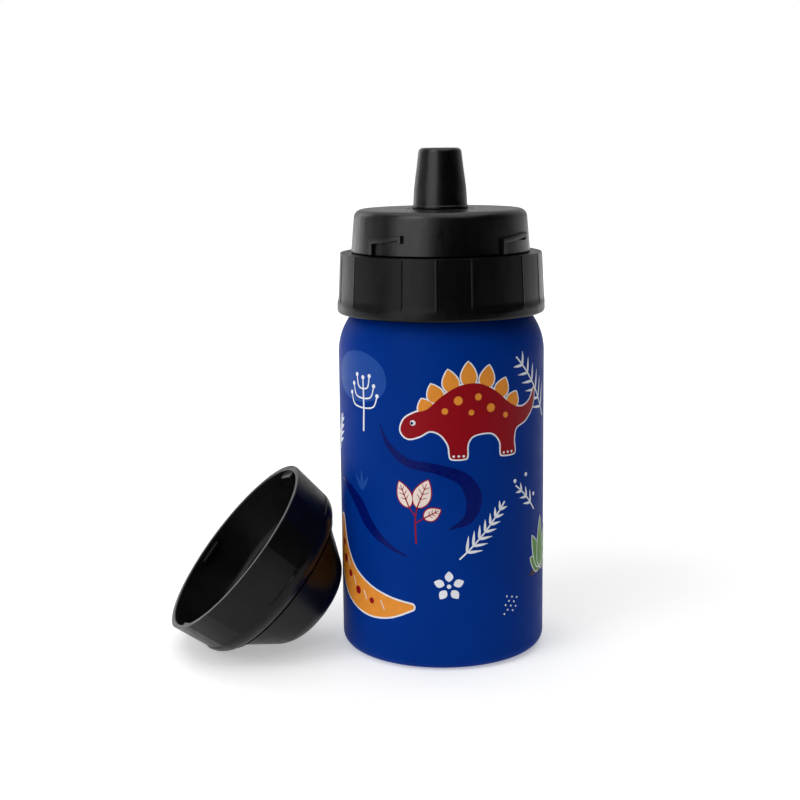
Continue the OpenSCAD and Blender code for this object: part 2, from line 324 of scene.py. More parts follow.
def powder_coat():
    n = Nodes("blue_powder_coat")
    n.colour(n.ramp(n.noise(26, 3), (0.0002, 0.0245, 0.200), (0.0003, 0.0295, 0.232)))
    n.roughness(n.spread(n.noise(7, 4), 0.38, 0.46))
    n.normal(n.bump(n.noise(0.55, 2), 0.018, n.bump(n.noise(3.2, 2), 0.02)))
    n.set(Specular_IOR_Level=0.02)
    return n.material


def moulded_black(name, tone, rough, texture_mm, depth_mm, shine):
    """Satin black moulding: fine texture, faint flow marks along the mould and a slightly uneven tone."""
    n = Nodes(name)
    flow = n.noise(2.6, 4, 0.6, stretch=(1.0, 1.0, 0.25))
    n.colour(n.ramp(n.noise(9, 5, 0.65), (tone * 0.8,) * 3, (tone * 1.35, tone * 1.35, tone * 1.4)))
    n.roughness(n.spread(flow, rough - 0.05, rough + 0.07))
    n.normal(n.bump(n.noise(texture_mm, 2), depth_mm, n.bump(flow, depth_mm * 0.5)))
    n.set(Specular_IOR_Level=shine)
    return n.material


def brushed_steel(name, tone):
    """Steel with fine rings of brushing round the flask's axis."""
    n = Nodes(name)
    split = n.add("ShaderNodeSeparateXYZ")
    n.link(n.place, split.inputs["Vector"])
    across = n.add("ShaderNodeCombineXYZ")
    squares = []
    for axis in ("X", "Y"):
        square = n.add("ShaderNodeMath", operation="MULTIPLY")
        n.link(split.outputs[axis], square.inputs[0])
        n.link(split.outputs[axis], square.inputs[1])
        squares.append(square.outputs[0])
    total = n.add("ShaderNodeMath", operation="ADD")
    n.link(squares[0], total.inputs[0])
    n.link(squares[1], total.inputs[1])
    root = n.add("ShaderNodeMath", operation="SQRT")
    n.link(total.outputs[0], root.inputs[0])
    n.link(root.outputs[0], across.inputs["X"])
    n.link(split.outputs["Z"], across.inputs["Z"])
    rings = n.add("ShaderNodeTexNoise")
    rings.inputs["Scale"].default_value = 2600.0
    rings.inputs["Detail"].default_value = 3.0
    n.link(across.outputs["Vector"], rings.inputs["Vector"])
    n.colour(n.ramp(rings.outputs["Fac"], (tone * 0.86,) * 3, (tone, tone, tone * 0.98)))
    n.roughness(n.spread(rings.outputs["Fac"], 0.24, 0.38))
    n.normal(n.bump(rings.outputs["Fac"], 0.006))
    n.set(Metallic=1.0)
    return n.material


def printed_ink(name, colour):
    """Screen-printed ink: a little uneven in colour and slightly glossier than the coat under it."""
    n = Nodes(name)
    low = tuple(v * 0.90 for v in colour)
    n.colour(n.ramp(n.noise(2.2, 4), low, colour))
    n.roughness(n.spread(n.noise(1.4, 3), 0.34, 0.46))
    n.normal(n.bump(n.noise(0.6, 2), 0.012))
    n.set(Specular_IOR_Level=0.06)
    return n.material


def glossy_ink(name, colour):
    """Dark varnish-like ink that shines against the satin coat."""
    n = Nodes(name)
    n.colour(n.ramp(n.noise(6, 3), tuple(v * 0.8 for v in colour), colour))
    n.roughness(n.spread(n.noise(2, 3), 0.24, 0.32))
    n.normal(n.bump(n.noise(3.0, 2), 0.01))
    n.set(Specular_IOR_Level=0.06)
    return n.material


INKS = {
    "white": (0.78, 0.80, 0.84), "red": (0.27, 0.004, 0.010), "orange": (0.75, 0.27, 0.035),
    "cream": (0.80, 0.68, 0.62), "green": (0.11, 0.27, 0.055), "brown": (0.035, 0.014, 0.040),
}
COAT = powder_coat()
PLASTIC = moulded_black("black_moulded_plastic", 0.0020, 0.30, 0.30, 0.010, 0.42)
GRIP_PLASTIC = moulded_black("black_grip_plastic", 0.0022, 0.33, 0.34, 0.014, 0.18)
SILICONE = moulded_black("black_silicone_rubber", 0.0020, 0.31, 0.22, 0.005, 0.42)
STEEL = brushed_steel("brushed_steel", 0.60)
DULL_STEEL = brushed_steel("dull_solder", 0.40)
DARK_STEEL = brushed_steel("getter_pellet", 0.22)


# ---------------------------------------------------------------- grips: panels, each a little domed

GRIP_STEPS = (0.0, 34.0, 53.0)
GRIP_REPEAT = 72.0
PANEL_R = 55.0
SEAM_R = 0.17
SEAM_SPREAD = 0.36


def grip_corners(turn):
    """Angles of the grip's corners, in degrees."""
    return sorted((turn + GRIP_REPEAT * i + step) % 360 for i in range(5) for step in GRIP_STEPS)


def grip_columns(turn):
    """Column angles: close together at the corners and wider apart on the panels."""
    marks = grip_corners(turn)
    near = (0.0, 0.18, 0.36, 0.56, 0.85, 1.4)
    margin = 2.2
    columns = []
    for here, ahead in zip(marks, marks[1:] + [marks[0] + 360]):
        inner = [margin + (ahead - here - 2 * margin) * k / 8 for k in range(9)]
        columns += [here + a for a in near] + [here + a for a in inner] + [ahead - a for a in near[:0:-1]]
    return columns


def grip_share(turn):
    """A function of angle: the grip's radius as a share of its radius at the corners.

    Each panel is an arc of a larger radius, and a fine raised seam runs along every corner.
    """
    marks = grip_corners(turn)

    def share(angle):
        angle = angle % 360
        for here, ahead in zip(marks, marks[1:] + [marks[0] + 360]):
            turned = angle + 360 if angle < here else angle
            if here <= turned < ahead:
                break
        half = math.radians(ahead - here) / 2
        off = math.radians(turned - (here + ahead) / 2)
        big = PANEL_R / GRIP_LOW_R
        centre = math.cos(half) - math.sqrt(big ** 2 - math.sin(half) ** 2)
        reach = centre * math.cos(off) + math.sqrt(big ** 2 - (centre * math.sin(off)) ** 2)
        away = min(turned - here, ahead - turned) / SEAM_SPREAD
        return reach + SEAM_R / GRIP_LOW_R * math.exp(-away ** 2)

    return share


# ---------------------------------------------------------------- flask

def wind_thread(bm, root, crest, start, span, low):
    """Winds a rounded trapezoidal thread that rises one pitch a turn. start and span are in degrees."""
    section = rounded([(root, -0.95), (crest, -0.5, 0.25), (crest, 0.5, 0.25), (root, 0.95)])
    ridge(bm, section, start, span, low, low + THREAD_PITCH * span / 360, root, taper=THREAD_TAPER)


def make_flask():
    bm = bmesh.new()
    turn = math.degrees(math.atan2(NECK_BASE_Z - SHOULDER_Z, NECK_R + NECK_FILLET_R - CURVE_X))

    def side(inset):
        return (
            arc(BODY_R - FOOT_CORNER_R, FOOT_CORNER_R, FOOT_CORNER_R - inset, -90, 0)
            + arc(CURVE_X, SHOULDER_Z, SHOULDER_CURVE_R - inset, 0, turn, 3.0)
            + arc(NECK_R + NECK_FILLET_R, NECK_BASE_Z, NECK_FILLET_R + inset, 180 + turn, 180, 9.0)
        )

    neck_top = MOUTH_Z - 0.5
    profile = (
        [(FOOT_INNER_R, 0.0)] + side(0.0) + [(NECK_R, neck_top), (NECK_R - SHELL_T, neck_top)]
        + side(SHELL_T)[::-1] + [(FOOT_INNER_R, SHELL_T)]
    )
    lathe(bm, profile, even(256))
    wind_thread(bm, NECK_R - THREAD_SINK, NECK_R + THREAD_DEPTH, 0, NECK_THREAD_SPAN, NECK_THREAD_Z)
    piece = add_piece("flask_shell", bm, COAT, "bottle")
    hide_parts("outer_shell")


# ---------------------------------------------------------------- screw collar

COLLAR_TURN = -73.3


def make_collar():
    share = grip_share(COLLAR_TURN)
    slope = (GRIP_TOP_R - GRIP_LOW_R) / (COLLAR_TOP - BAND_TOP)

    def shape(r, z, angle):
        """Cuts the panels into the round blank. Each runs out into the band along an arc."""
        if r < COLLAR_BORE_R + 0.4:
            return r
        panel = (GRIP_LOW_R + slope * (z - BAND_TOP)) * share(angle)
        below = min(max(RUN_OUT_Z - z, 0.0), RUN_OUT_R)
        panel += RUN_OUT_R - math.sqrt(RUN_OUT_R ** 2 - below ** 2)
        return min(r, panel)

    rows = 26
    side = [(BAND_R, BAND_LOW_TOP + (COLLAR_TOP - 0.5 - BAND_LOW_TOP) * k / rows) for k in range(rows + 1)]
    deck_z = COLLAR_TOP - COLLAR_DECK_T
    top = rounded([
        (GRIP_TOP_R + 0.02, COLLAR_TOP - 0.6), (GRIP_TOP_R, COLLAR_TOP, 0.55),
        (COLLAR_HOLE_R, COLLAR_TOP, 0.3), (COLLAR_HOLE_R, deck_z, 0.2), (COLLAR_ROOT_R, deck_z, 0.5),
        (COLLAR_ROOT_R, COLLAR_Z + 3.4), (COLLAR_BORE_R, COLLAR_Z + 2.6),
    ], closed=False)
    foot = rounded([
        (COLLAR_BORE_R, COLLAR_Z + 1), (COLLAR_BORE_R, COLLAR_Z, 0.4), (BAND_R, COLLAR_Z, 1.2),
        (BAND_R, COLLAR_Z + 2),
    ], closed=False)
    bm = bmesh.new()
    lathe(bm, foot[1:-1] + side + top[1:], grip_columns(COLLAR_TURN), shape)
    root = COLLAR_ROOT_R + THREAD_SINK
    low = NECK_THREAD_Z - COLLAR_THREAD_DROP + THREAD_PITCH * COLLAR_THREAD_START / 360
    wind_thread(bm, root, NECK_R + THREAD_CLEAR, COLLAR_THREAD_START, COLLAR_THREAD_SPAN, low)
    piece = add_piece("collar_ring", bm, GRIP_PLASTIC, "collar", sharp=40)
    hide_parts("screw_collar")


# ---------------------------------------------------------------- lid

RIB_LOW_Z = LID_FOOT_Z + 4.6
RIB_HIGH_Z = RIB_LOW_Z + 1.8
RIB_START = -139.0
RIB_SPAN = 24.6
RIB_DEPTH = 1.4
BAR_EDGE_R = 0.35


def lid_r(z):
    """Radius of the lid's tapered side at a height."""
    return LID_FOOT_R + (LID_SIDE_R - LID_FOOT_R) * (z - LID_FOOT_Z) / (LID_TOP - LID_FOOT_Z)


def lid_bar(bm, angle, wide, low, high, tall, crest):
    """A bar that stands out of the lid's side, wide in degrees and tall in mm."""
    root = lid_r(RIB_HIGH_Z) - 0.9
    section = rounded([
        (root, -tall / 2), (crest, -tall / 2, BAR_EDGE_R), (crest, tall / 2, BAR_EDGE_R), (root, tall / 2),
    ])
    ridge(bm, section, angle, wide, low, high, root, step=1.2)


def make_lid():
    flange_z = MOUTH_Z + GASKET_T
    profile = rounded([
        (PLUG_R - PLUG_T, PLUG_Z, 0.3), (PLUG_R, PLUG_Z, 0.5), (PLUG_R, flange_z),
        (SNAP_BEAD_R, flange_z, 0.2), (SNAP_BEAD_R, flange_z + 0.6, 0.2), (THROAT_R, flange_z + 1.1),
        (THROAT_R, LID_FOOT_Z, 0.3), (LID_FOOT_R, LID_FOOT_Z, 0.35), (LID_SIDE_R, LID_TOP, LID_CORNER_R),
        (GROOVE_R + 0.7, LID_TOP, 0.25), (GROOVE_R + 0.5, LID_TOP - GROOVE_DEPTH, 0.25),
        (GROOVE_R - 0.5, LID_TOP - GROOVE_DEPTH, 0.25), (GROOVE_R - 0.7, LID_TOP, 0.25),
        (SPOUT_HOLE_R, LID_TOP, 0.2), (SPOUT_HOLE_R, CEILING_Z), (26.6, CEILING_Z, 1.2),
        (LID_FOOT_R - LID_T, LID_FOOT_Z + 3), (PLUG_R - PLUG_T, LID_FOOT_Z, 0.8),
    ])
    bm = bmesh.new()
    lathe(bm, profile, even(224))
    crest = lid_r(RIB_LOW_Z) + RIB_DEPTH
    middle = (RIB_LOW_Z + LID_FOOT_Z) / 2
    for i in range(4):
        start = RIB_START + 90 * i
        lid_bar(bm, start, 3.0, middle, middle, RIB_LOW_Z - LID_FOOT_Z - 0.1, crest - 0.02)
        lid_bar(bm, start, RIB_SPAN, RIB_LOW_Z, RIB_HIGH_Z, 1.6, crest)
        lid_bar(bm, start + RIB_SPAN - 1.8, 1.8, RIB_HIGH_Z - 1.2, RIB_HIGH_Z - 1.1, 1.5, crest - 0.02)
    piece = add_piece("lid_cover", bm, PLASTIC, "lid")
    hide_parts("lid_body")


SLIT_L = 5.0
SLIT_W = 0.35


def make_spout():
    outer = rounded([
        (SPOUT_BORE_R, SPOUT_FLANGE_Z, 0.3), (SPOUT_FLANGE_R, SPOUT_FLANGE_Z, 0.4),
        (SPOUT_FLANGE_R, CEILING_Z, 0.2), (SPOUT_WAIST_R, CEILING_Z), (SPOUT_WAIST_R, LID_TOP),
        (SPOUT_BEAD_R, LID_TOP + 0.02, 0.45), (SPOUT_BEAD_R, LID_TOP + 1.05, 0.45),
        (9.5, LID_TOP + 1.3, 0.3), (9.2, LID_TOP + 7, 40.0), (8.3, LID_TOP + 13.3, 60.0),
        (SPOUT_TIP_R, SPOUT_TIP, 2.1),
        (SPOUT_DISH_R + 0.9, SPOUT_TIP, 0.5), (SPOUT_DISH_R, SPOUT_TIP - 0.8, 0.4),
    ], closed=False, step=6.0)
    inner = [
        (0.0, SPOUT_TIP - 0.75), (0.0, SPOUT_TIP - SPOUT_TIP_T), (SPOUT_DISH_R, SPOUT_TIP - SPOUT_TIP_T),
        (SPOUT_BORE_R, LID_TOP + 12),
    ]
    bm = bmesh.new()
    lathe(bm, from_axis(outer, inner), even(128))
    piece = add_piece("drinking_spout", bm, SILICONE, "lid")
    cut_slit(piece)
    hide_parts("spout")


def cut_slit(piece):
    """Cuts the cross slit through the spout's tip."""
    bm = bmesh.new()
    middle = Matrix.Translation((0, 0, (SPOUT_TIP - 1.6) * MM))
    size = Matrix.Diagonal((SLIT_L * MM, SLIT_W * MM, SLIT_L * MM, 1))
    for angle in (45, 135):
        spin = Matrix.Rotation(math.radians(angle), 4, "Z")
        bmesh.ops.create_cube(bm, size=1.0, matrix=middle @ spin @ size)
    mesh = bpy.data.meshes.new("slit_cutter")
    bm.to_mesh(mesh)
    bm.free()
    cutter = bpy.data.objects.new("slit_cutter", mesh)
    bpy.context.scene.collection.objects.link(cutter)
    boolean = piece.modifiers.new("slit", "BOOLEAN")
    boolean.operation = "DIFFERENCE"
    boolean.solver = "EXACT"
    boolean.use_self = True
    boolean.object = cutter
    graph = bpy.context.evaluated_depsgraph_get()
    cut = bpy.data.meshes.new_from_object(piece.evaluated_get(graph))
    piece.modifiers.clear()
    piece.data = cut
    bpy.data.objects.remove(cutter)


# ---------------------------------------------------------------- cap

CAP_RIM_R = 36.2
CAP_SKIRT_R = 33.9
CAP_SKIRT_H = 20.8
CAP_H = 39.2
CAP_CORNER_R = 7.0
DOME_FOOT_R = 28.4
DOME_TOP_R = 16.0
DOME_CORNER_R = 13.0
CAP_MOUTH_R = 34.0
CAP_TURN = 251.0
CAP_TURN_IN = 13.8
CAP_MIDDLE = (-75.1, -7.1)
CAP_WALL = 2.6
CAP_EDGE = 0.7
DOME_WALL = 1.8
LUG_DEPTH = 2.0
LUG_START = 60.0
LUG_SPAN = 18.0
LUG_Z = 2.4


def corner_centre(r, slope, height, radius):
    """Centre of the rounding where a side that starts at (r, 0) and slopes in meets a flat end."""
    return Vector((r - (height - radius) * math.tan(slope) - radius / math.cos(slope), height - radius))


SKIRT_SLOPE = math.atan2(CAP_RIM_R - CAP_SKIRT_R, CAP_SKIRT_H)
DOME_H = CAP_H - CAP_SKIRT_H
DOME_SLOPE = math.atan2(DOME_FOOT_R - DOME_TOP_R, DOME_H)
CAP_CORNER = corner_centre(CAP_RIM_R, SKIRT_SLOPE, CAP_SKIRT_H, CAP_CORNER_R)
DOME_CORNER = corner_centre(DOME_FOOT_R, DOME_SLOPE, DOME_H, DOME_CORNER_R) + Vector((0, CAP_SKIRT_H))


def cap_place():
    """Moves the cap from its own axis, rim at z 0 and crown up, to where the CAD cap lies."""
    step = DOME_CORNER - CAP_CORNER
    tilt = math.asin((CAP_CORNER_R - DOME_CORNER_R) / step.length) - math.atan2(step.x, step.y)
    rim_z = CAP_CORNER.y * math.sin(tilt) + CAP_CORNER.x * math.cos(tilt) + CAP_CORNER_R
    turn = Matrix.Rotation(math.radians(CAP_TURN_IN), 4, "Z") @ Matrix.Rotation(math.pi / 2 + tilt, 4, "Y")
    return Matrix.Translation(Vector((*CAP_MIDDLE, rim_z)) * MM) @ turn


def cap_side_r(z):
    """Radius of the cap's tapered skirt at a height over its rim."""
    return CAP_RIM_R - z * math.tan(SKIRT_SLOPE)


def make_cap():
    share = grip_share(CAP_TURN)
    slope = math.degrees(SKIRT_SLOPE)
    dome = math.degrees(DOME_SLOPE)

    def shape(r, z, angle):
        """Cuts the panels into the outside of the skirt, and leaves the dome and the inside round."""
        side = cap_side_r(z)
        inside = z > CAP_EDGE and r < side - CAP_WALL + 0.05
        if z > CAP_SKIRT_H or inside or r < CAP_MOUTH_R + 0.6:
            return r
        return min(r, side * share(angle))

    rows = 10
    heights = [CAP_EDGE + 13.6 * k / rows for k in range(rows + 1)]
    skirt = [(cap_side_r(z), z) for z in heights]
    rim = rounded([
        (CAP_MOUTH_R, 3.0), (CAP_MOUTH_R, 0.0, 0.45), (CAP_RIM_R, 0.0, CAP_EDGE), (CAP_RIM_R - 0.1, 1.0),
    ], closed=False)
    step = rounded([
        (30.2, CAP_SKIRT_H), (DOME_FOOT_R + 0.2, CAP_SKIRT_H, 0.8), (27.0, CAP_SKIRT_H + 2.4),
    ], closed=False)
    outer = (
        rim[1:-1] + skirt
        + arc(CAP_CORNER.x, CAP_CORNER.y, CAP_CORNER_R, slope, 80, 6.0)
        + step
        + arc(DOME_CORNER.x, DOME_CORNER.y, DOME_CORNER_R, dome, 90, 4.0)
        + [(0.0, CAP_H)]
    )
    inner = (
        [(0.0, CAP_H - DOME_WALL)]
        + arc(DOME_CORNER.x, DOME_CORNER.y, DOME_CORNER_R - DOME_WALL, 90, dome, 5.0)
        + arc(CAP_CORNER.x, CAP_CORNER.y, CAP_CORNER_R - CAP_WALL, 90, slope, 8.0)
        + [(CAP_MOUTH_R, 7.0)]
    )
    bm = bmesh.new()
    lathe(bm, from_axis(outer, inner), grip_columns(CAP_TURN), shape)
    root = CAP_MOUTH_R + 0.4
    crest = CAP_MOUTH_R - LUG_DEPTH
    section = rounded([(root, -0.95), (crest, -0.7, 0.4), (crest, 0.7, 0.4), (root, 0.95)])
    for i in range(4):
        ridge(bm, section, LUG_START + 90 * i, LUG_SPAN, LUG_Z, LUG_Z, root, taper=1.5, step=1.0)
    piece = add_piece("cap_cover", bm, GRIP_PLASTIC, "cap", sharp=40, place=cap_place())
    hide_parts("cap_shell")


# ---------------------------------------------------------------- CAD nodes that keep their own shape

def dress_cad_nodes():
    finishes = {
        "inner_liner": STEEL, "base_plate": STEEL, "base_cover": STEEL, "vacuum_seal": DULL_STEEL,
        "getter": DARK_STEEL, "mouth_gasket": SILICONE, "vent_valve": SILICONE, "cap_pad": SILICONE,
    }
    for node, material in finishes.items():
        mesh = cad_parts[node].data
        mesh.materials.clear()
        mesh.materials.append(material)


# ---------------------------------------------------------------- printed artwork
# Motifs are drawn flat, in mm: u runs round the flask from the middle of its front and v is the height.

PRINT_LAYER = 0.03
PRINT_SINK = -0.01
PRINT_STEP = 1.5


class Print:
    """Collects the flat shapes of one ink colour and wraps them onto the flask as thin closed films."""

    def __init__(self, name, ink):
        self.name = name
        self.ink = ink
        self.bm = bmesh.new()

    def shape(self, outline, layer=1):
        """Adds a filled outline. A higher layer lies on top of a lower one."""
        flat = bmesh.new()
        verts = [flat.verts.new((u, v, 0)) for u, v in outline]
        for a, b, c in tessellate_polygon([[Vector((u, v, 0)) for u, v in outline]]):
            if len({a, b, c}) == 3:
                flat.faces.new((verts[a], verts[b], verts[c]))
        for axis, normal in ((0, (1, 0, 0)), (1, (0, 1, 0))):
            low = min(p[axis] for p in outline)
            high = max(p[axis] for p in outline)
            floor = low if axis == 0 else max(low, SHOULDER_Z - 1)
            cut = math.floor(floor / PRINT_STEP) * PRINT_STEP + PRINT_STEP
            while cut < high:
                place = Vector(normal) * cut
                geometry = flat.verts[:] + flat.edges[:] + flat.faces[:]
                bmesh.ops.bisect_plane(flat, geom=geometry, plane_co=place, plane_no=normal, dist=1e-5)
                cut += PRINT_STEP
        made = bmesh.ops.extrude_face_region(flat, geom=flat.faces[:], use_keep_orig=True)
        for item in made["geom"]:
            if isinstance(item, bmesh.types.BMVert):
                item.co.z = 1.0
        index = {}
        for vert in flat.verts:
            height = PRINT_LAYER * layer if vert.co.z > 0.5 else PRINT_SINK
            index[vert] = self.bm.verts.new(wrapped(vert.co.x, vert.co.y, height))
        for face in flat.faces:
            self.bm.faces.new([index[v] for v in face.verts])
        flat.free()

    def finish(self):
        add_piece(self.name, self.bm, self.ink, "bottle", sharp=60)


def wrapped(u, v, out):
    """The place on the flask, pushed out by out, of a flat point."""
    if v > SHOULDER_Z:
        lean = (v - SHOULDER_Z) / SHOULDER_CURVE_R
        r = CURVE_X + (SHOULDER_CURVE_R + out) * math.cos(lean)
        z = SHOULDER_Z + (SHOULDER_CURVE_R + out) * math.sin(lean)
    else:
        r, z = BODY_R + out, v
    return polar(r, math.degrees(u / BODY_R) - 90, z)


def smooth(points, closed=True, steps=5):
    """A smooth line through points that may hold more than two numbers each."""
    last = len(points) - 1
    out = []
    for i in range(last + 1 if closed else last):
        places = [(i + k) % (last + 1) if closed else min(max(i + k, 0), last) for k in (-1, 0, 1, 2)]
        around = [points[place] for place in places]
        for step in range(steps):
            t = step / steps
            weights = (
                (-t + 2 * t ** 2 - t ** 3) / 2, (2 - 5 * t ** 2 + 3 * t ** 3) / 2,
                (t + 4 * t ** 2 - 3 * t ** 3) / 2, (t ** 3 - t ** 2) / 2)
            out.append(tuple(sum(w * v for w, v in zip(weights, column)) for column in zip(*around)))
    return out if closed else out + [tuple(points[-1])]


def brush(points, steps=6):
    """The outline of a stroke through (u, v, width) points, with round ends."""
    line = smooth(points, closed=False, steps=steps)
    last = len(line) - 1
    left, right, tips = [], [], []
    for i, (u, v, width) in enumerate(line):
        before, after = line[max(i - 1, 0)], line[min(i + 1, last)]
        along = Vector((after[0] - before[0], after[1] - before[1])).normalized()
        across = Vector((-along.y, along.x))
        here = Vector((u, v))
        left.append(tuple(here + across * width / 2))
        right.append(tuple(here - across * width / 2))
        if i in (0, last):
            out, side = (-along, -across) if i == 0 else (along, across)
            turns = [math.pi * k / 6 for k in range(1, 6)]
            tips.append([tuple(here + (side * math.cos(a) + out * math.sin(a)) * width / 2) for a in turns])
    return left + tips[1] + right[::-1] + tips[0]


def disc(u, v, radius, count=18):
    turns = [2 * math.pi * k / count for k in range(count)]
    return [(u + radius * math.cos(a), v + radius * math.sin(a)) for a in turns]


def cloud(u, v, wide, tall):
    """A soft rounded patch, flatter underneath, wide and tall being its half sizes."""
    rim = ((1.0, -0.10), (0.86, 0.52), (0.42, 0.92), (-0.14, 1.0), (-0.66, 0.74), (-0.98, 0.18),
           (-0.88, -0.52), (-0.36, -0.88), (0.28, -0.92), (0.80, -0.66))
    return smooth([(u + wide * x, v + tall * y) for x, y in rim], steps=6)


def grown(outline, margin):
    """The outline pushed outwards."""
    count = len(outline)
    area = sum(outline[i - 1][0] * outline[i][1] - outline[i][0] * outline[i - 1][1] for i in range(count))
    sign = 1 if area > 0 else -1
    out = []
    for i in range(count):
        a, b = Vector(outline[i - 1]), Vector(outline[(i + 1) % count])
        along = (b - a).normalized()
        out.append((outline[i][0] + sign * along.y * margin, outline[i][1] - sign * along.x * margin))
    return out


def heading(angle):
    """The direction of an angle in degrees."""
    return Vector((math.cos(math.radians(angle)), math.sin(math.radians(angle))))


def leaf(u, v, angle, length, width, point=0.62):
    """A pointed leaf that grows from (u, v) at an angle in degrees."""
    along = heading(angle)
    across = Vector((-along.y, along.x))
    out = []
    for side in (1, -1):
        for k in range(12):
            t = k / 12 if side == 1 else 1 - k / 12
            bulge = math.sin(math.pi * t ** point) ** 0.85 * width / 2
            out.append(tuple(Vector((u, v)) + along * length * t + across * side * bulge))
    return out


FROND_BEND = 14.0


def frond(ink, u, v, angle, length, pairs, blade, layer=3, droop=40.0, width=0.55):
    """A fern frond: a curved stem with pairs of slim blades that shorten towards its tip."""
    points = []
    place = Vector((u, v))
    steps = pairs + 1
    for k in range(steps + 1):
        points.append((place.x, place.y, width))
        place = place + heading(angle + FROND_BEND * (k + 1) / steps) * length / steps
    ink.shape(brush(points, 2), layer)
    for k in range(1, steps):
        here, ahead = points[k], points[k + 1]
        way = math.degrees(math.atan2(ahead[1] - here[1], ahead[0] - here[0]))
        size = blade * (1.08 - 0.62 * k / steps)
        for side in (1, -1):
            ink.shape(leaf(here[0], here[1], way + side * droop, size, 0.95), layer)


def bud_sprig(ink, u, v, height, spread, layer=3):
    """A stem whose paired side shoots curve up to round buds."""
    ink.shape(brush([(u, v, 0.75), (u + 0.25, v + height * 0.5, 0.65), (u, v + height, 0.5)], 3), layer)
    ink.shape(disc(u, v + height, 0.75), layer)
    for share, reach in ((0.42, spread), (0.60, spread * 0.78), (0.78, spread * 0.48)):
        foot = v + height * share
        tip = foot + height * 0.26
        for side in (reach, -reach):
            shoot = [(u, foot, 0.5), (u + side * 0.75, foot + 0.9, 0.5), (u + side, tip, 0.45)]
            ink.shape(brush(shoot, 4), layer)
            ink.shape(disc(u + side, tip, 0.72), layer)


def blossom(ink, u, v, radius, layer=3):
    """Five loose petals round a dot."""
    for angle in range(90, 450, 72):
        foot = Vector((u, v)) + heading(angle) * radius * 0.32
        ink.shape(leaf(foot.x, foot.y, angle, radius * 0.72, radius * 0.55, 0.9), layer)
    ink.shape(disc(u, v, 0.75), layer)


def veined_leaf(inks, u, v, angle, length, width):
    """A cream leaf with a red edge, midrib and veins."""
    along = heading(angle)
    across = Vector((-along.y, along.x))
    outline = leaf(u, v, angle, length, width, 0.8)
    inks["red"].shape(grown(outline, 0.42), 2)
    inks["cream"].shape(outline, 3)
    foot = Vector((u, v))
    rib = [foot + along * length * t for t in (0.0, 0.5, 0.86)]
    inks["red"].shape(brush([(p.x, p.y, w) for p, w in zip(rib, (0.5, 0.4, 0.25))], 2), 4)
    for t in (0.3, 0.48, 0.66):
        for side in (1, -1):
            start = foot + along * length * t
            reach = side * width * 0.30 * math.sin(math.pi * (t + 0.1))
            end = start + along * length * 0.13 + across * reach
            inks["red"].shape(brush([(start.x, start.y, 0.3), (end.x, end.y, 0.2)], 1), 4)


def leaf_stalk(inks, u, v):
    """Three veined leaves on a forked red stalk."""
    inks["red"].shape(brush([(u + 1.2, v, 0.55), (u + 0.9, v + 8, 0.5), (u + 1.6, v + 12.5, 0.4)], 3), 2)
    inks["red"].shape(brush([(u + 0.9, v + 7.0, 0.4), (u + 4.0, v + 9.0, 0.35)], 1), 2)
    inks["red"].shape(brush([(u + 1.0, v + 9.5, 0.4), (u - 1.2, v + 12.5, 0.35)], 1), 2)
    veined_leaf(inks, u + 1.6, v + 12.5, 68, 10.5, 6.0)
    veined_leaf(inks, u - 1.2, v + 12.5, 112, 9.5, 4.9)
    veined_leaf(inks, u + 4.0, v + 9.0, 28, 6.4, 4.2)


DINOSAUR = [
    (-14.8, 9.6), (-13.4, 13.6), (-9.4, 16.0), (-5.4, 17.2), (-0.5, 21.6), (5.5, 25.0), (12.0, 25.6),
    (18.5, 22.6), (24.5, 17.8), (30.0, 15.8), (35.0, 17.6), (38.0, 21.6), (37.4, 15.6), (32.6, 11.0),
    (27.6, 9.0), (26.4, 5.0), (26.8, 0.9), (25.4, 0.1), (21.6, 0.2), (20.6, 1.0), (20.2, 5.2), (16.8, 8.4),
    (10.6, 8.0), (8.2, 5.2), (8.0, 1.0), (7.0, 0.1), (3.2, 0.1), (2.2, 1.0), (1.6, 5.0), (-1.0, 8.6),
    (-4.6, 9.8), (-8.0, 8.0), (-12.2, 7.0),
]
PLATES = [
    (-5.0, 17.0, 116, 4.2), (-1.6, 20.6, 112, 5.6), (3.2, 23.9, 102, 6.8), (8.8, 25.6, 92, 7.4),
    (14.6, 24.8, 80, 6.8), (19.8, 21.6, 66, 5.6), (24.6, 17.8, 60, 4.4),
]
SPOTS = [
    (0.5, 16.5, 1.1), (5.0, 20.0, 1.5), (9.5, 15.8, 1.0), (12.0, 21.0, 1.2), (16.6, 17.0, 1.5),
    (22.5, 14.0, 1.0),
]
TOES = (3.4, 5.1, 6.8, 21.8, 23.5, 25.2)


def dinosaur(inks, body, trim, u, v, size=1.0, facing=1):
    """A round-backed dinosaur with leaf-shaped plates, drawn for this bottle."""
    def put(points):
        return [(u + facing * x * size, v + y * size) for x, y in points]

    outline = put(smooth(DINOSAUR, steps=4))
    plates = [put(leaf(x, y - 1.2, angle, tall + 1.2, 5.4, 0.75)) for x, y, angle, tall in PLATES]
    for plate in plates:
        inks["white"].shape(grown(plate, 0.45), 2)
    inks["white"].shape(grown(outline, 0.55), 2)
    for plate in plates:
        trim.shape(plate, 3)
    body.shape(outline, 4)
    for x, y, r in SPOTS:
        trim.shape(put(disc(x, y, r)), 5)
    inks["white"].shape(put(disc(-10.4, 12.4, 0.95)), 5)
    inks["navy"].shape(put(disc(-10.7, 12.3, 0.5)), 6)
    for x in TOES:
        inks["white"].shape(put(disc(x, 1.0, 0.42, count=10)), 5)


